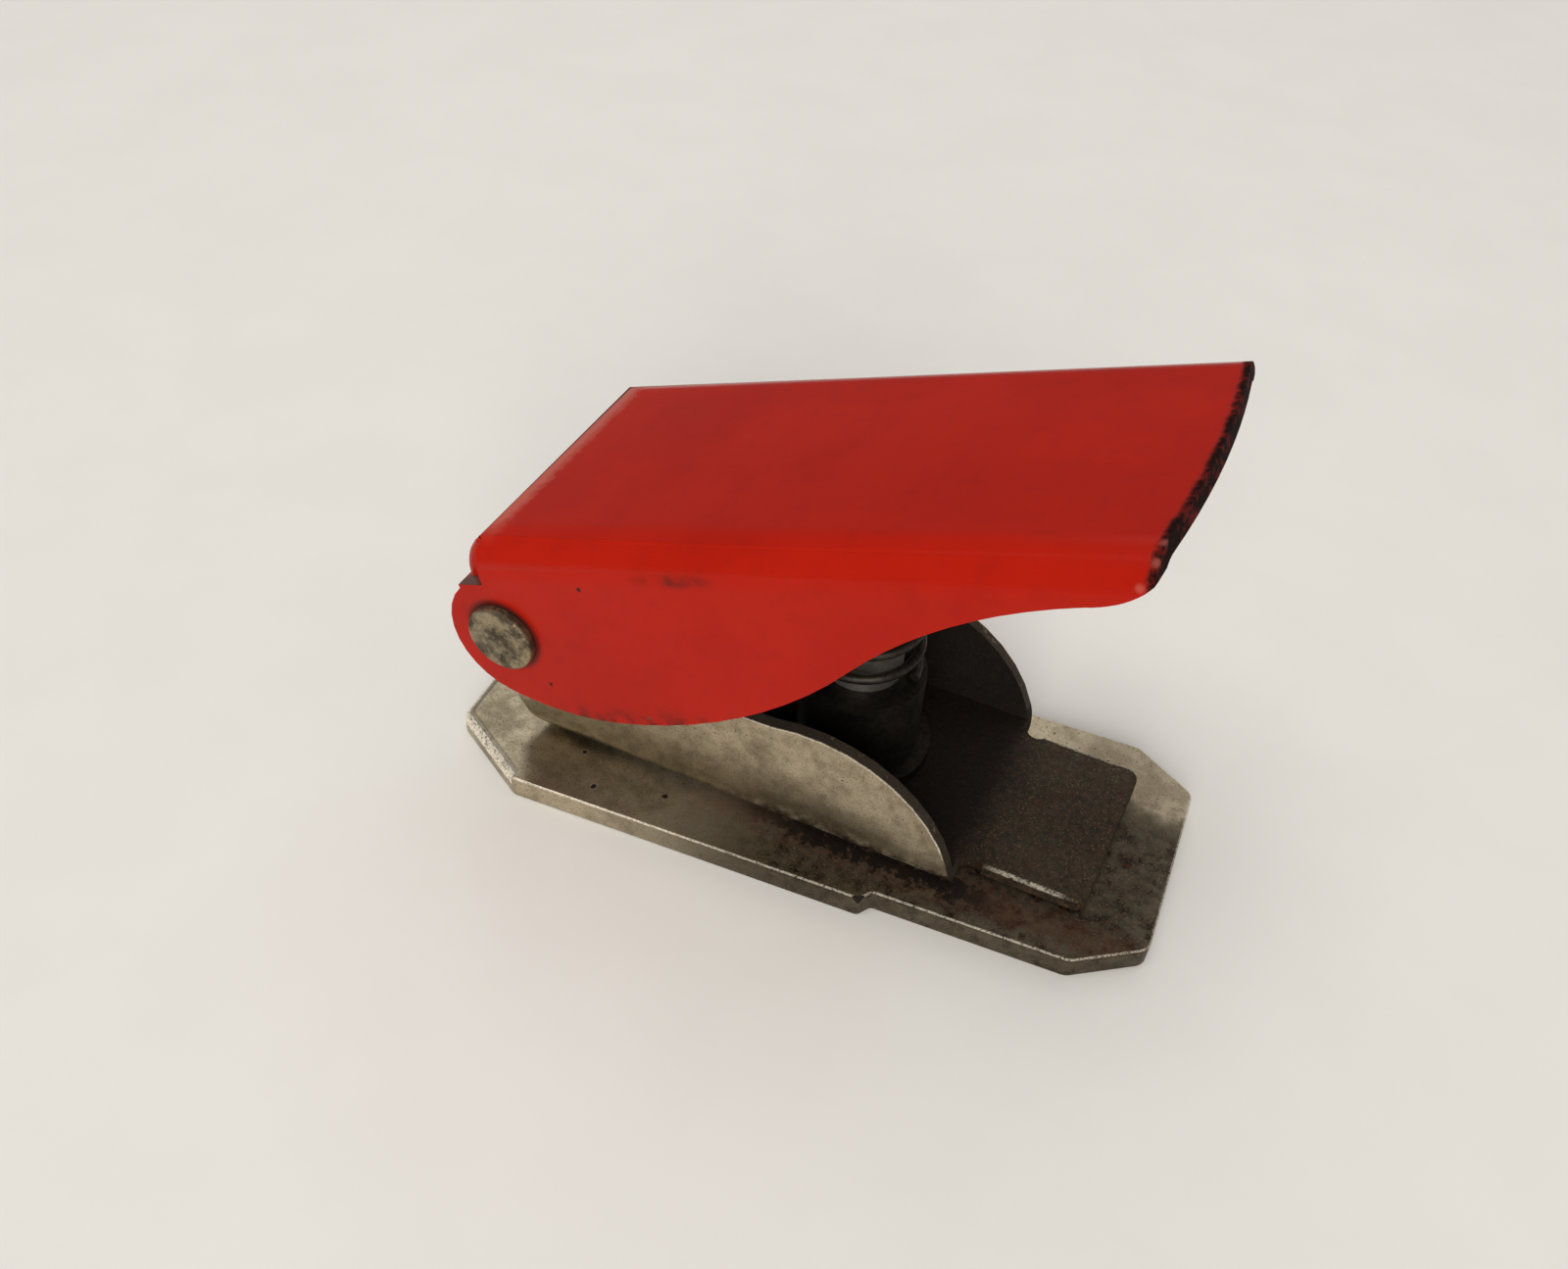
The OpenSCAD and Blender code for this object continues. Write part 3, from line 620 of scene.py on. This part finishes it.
def makeSpring():
    s = springWire
    bm = bmesh.new()
    rise = (s["high"] - s["low"]) / s["curls"]
    lean = math.atan2(rise, math.pi * s["coil"])
    ring = bmesh.ops.create_circle(bm, segments=s["sides"], radius=s["wire"] / 2 * mm, cap_ends=False)["verts"]
    bmesh.ops.rotate(bm, verts=ring, cent=(0, 0, 0), matrix=Matrix.Rotation(math.radians(90) + lean, 3, "X"))
    bmesh.ops.translate(bm, verts=ring, vec=((s["x"] + s["coil"] / 2) * mm, 0, s["low"] * mm))
    steps = s["curls"] * s["stepsACurl"]
    bmesh.ops.spin(
        bm, geom=bm.verts[:] + bm.edges[:], cent=(s["x"] * mm, 0, 0), axis=(0, 0, 1), steps=steps,
        dvec=(0, 0, rise / s["stepsACurl"] * mm), angle=math.radians(360) * s["curls"], use_merge=False,
    )
    bmesh.ops.holes_fill(bm, edges=[e for e in bm.edges if e.is_boundary], sides=0)
    bmesh.ops.recalc_face_normals(bm, faces=bm.faces)
    piece = finishPiece(bm, "springWire", "return_spring", "body", workedSteel("spring"), 50.0)
    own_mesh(piece)


makeBase()
makeFrame()
makeLever()
print("plate, frame and lever made")

dull = workedSteel("dull")
mottled = nickelPlate("rivetNickel", rivetSoil, pivotRivet["bright"])
makePlain("pivot_rivet", "pivotRivet", "body", mottled)
makePlain("throat_spacer", "throatSpacer", "body", dull)
makePlain("frame_rivets", "frameRivets", "body", dull)
makePlain("pivot_tube", "pivotTube", "body", dull)
makePlain("pivot_washers", "pivotWashers", "body", dull)
makePlain("guide_bush", "guideBush", "body", dull)
makePlain("punch_pin", "punchPin", "punch", workedSteel("ground"))
makeSpring()
print("inner pieces made")


# a pale paper floor that melts into the grey surround
floorPaper = dict(
    colour=(0.80, 0.785, 0.75), fleck=(0.785, 0.77, 0.735), cloud=14.0, cloudAt=(0.35, 0.65), rough=0.9,
    radius=1.2, melt=(0.55, 1.1), level=-0.05,
)


def makeFloor():
    bm = bmesh.new()
    bmesh.ops.create_circle(bm, segments=96, radius=floorPaper["radius"], cap_ends=True)
    bmesh.ops.translate(bm, verts=bm.verts, vec=(0, 0, floorPaper["level"] * mm))
    mesh = bpy.data.meshes.new("floor")
    bm.to_mesh(mesh)
    bm.free()
    mat, tree, shader, coords = startMaterial("floorPaper")
    cloud = noise(tree, coords, floorPaper["cloud"], 4.0, 0.55)
    shade = tint(tree, fade(tree, cloud, *floorPaper["cloudAt"]), floorPaper["fleck"], floorPaper["colour"])
    put(tree, shader.inputs["Base Color"], shade)
    shader.inputs["Roughness"].default_value = floorPaper["rough"]
    shader.inputs["Specular IOR Level"].default_value = 0.0
    out = tree.nodes["Material Output"]
    clear = tree.nodes.new("ShaderNodeBsdfTransparent")
    blend = tree.nodes.new("ShaderNodeMixShader")
    away = tree.nodes.new("ShaderNodeVectorMath")
    away.operation = "LENGTH"
    put(tree, away.inputs[0], coords)
    put(tree, blend.inputs[0], fade(tree, away.outputs["Value"], *floorPaper["melt"]))
    tree.links.new(shader.outputs[0], blend.inputs[1])
    tree.links.new(clear.outputs[0], blend.inputs[2])
    tree.links.new(blend.outputs[0], out.inputs["Surface"])
    mesh.materials.append(mat)
    floor = bpy.data.objects.new("floor", mesh)
    bpy.context.scene.collection.objects.link(floor)


studio = dict(
    surround=(0.22, 0.22, 0.217), aim=(0.022, 0.0, 0.012),
    lamps=(
        dict(name="keyLamp", place=(-0.114, -0.082, 0.672), size=0.45, power=1.42, colour=(1.0, 0.98, 0.95)),
        dict(name="overLamp", place=(-0.03, 0.386, 0.643), size=0.80, power=1.60, colour=(1.0, 0.98, 0.95)),
        dict(name="nearLamp", place=(0.428, -1.218, 0.665), size=1.10, power=15.4, colour=(1.0, 0.96, 0.91)),
    ),
)


def makeStudio():
    world = bpy.data.worlds.new("studio")
    bpy.context.scene.world = world
    world.use_nodes = True
    world.node_tree.nodes["Background"].inputs["Color"].default_value = (*studio["surround"], 1)
    for lamp in studio["lamps"]:
        data = bpy.data.lights.new(lamp["name"], "AREA")
        data.shape = "DISK"
        data.size = lamp["size"]
        data.energy = lamp["power"]
        data.color = lamp["colour"]
        holder = bpy.data.objects.new(lamp["name"], data)
        holder.location = lamp["place"]
        towards = Vector(studio["aim"]) - Vector(lamp["place"])
        holder.rotation_euler = towards.to_track_quat("-Z", "Y").to_euler()
        bpy.context.scene.collection.objects.link(holder)


view = dict(place=(0.04854, -0.07479, 0.08591), turn=(42.498, -2.746, 25.49), lens=32.74, shiftY=0.08)


def makeCamera():
    data = bpy.data.cameras.new("camera")
    data.lens = view["lens"]
    data.sensor_width = 36.0
    data.shift_y = view["shiftY"]
    data.clip_start, data.clip_end = 0.005, 20.0
    camera = bpy.data.objects.new("camera", data)
    camera.location = view["place"]
    camera.rotation_euler = [math.radians(a) for a in view["turn"]]
    bpy.context.scene.collection.objects.link(camera)
    bpy.context.scene.camera = camera


makeFloor()
makeStudio()
makeCamera()
bpy.context.scene.view_settings.view_transform = "Standard"
print("stage, light and camera set")
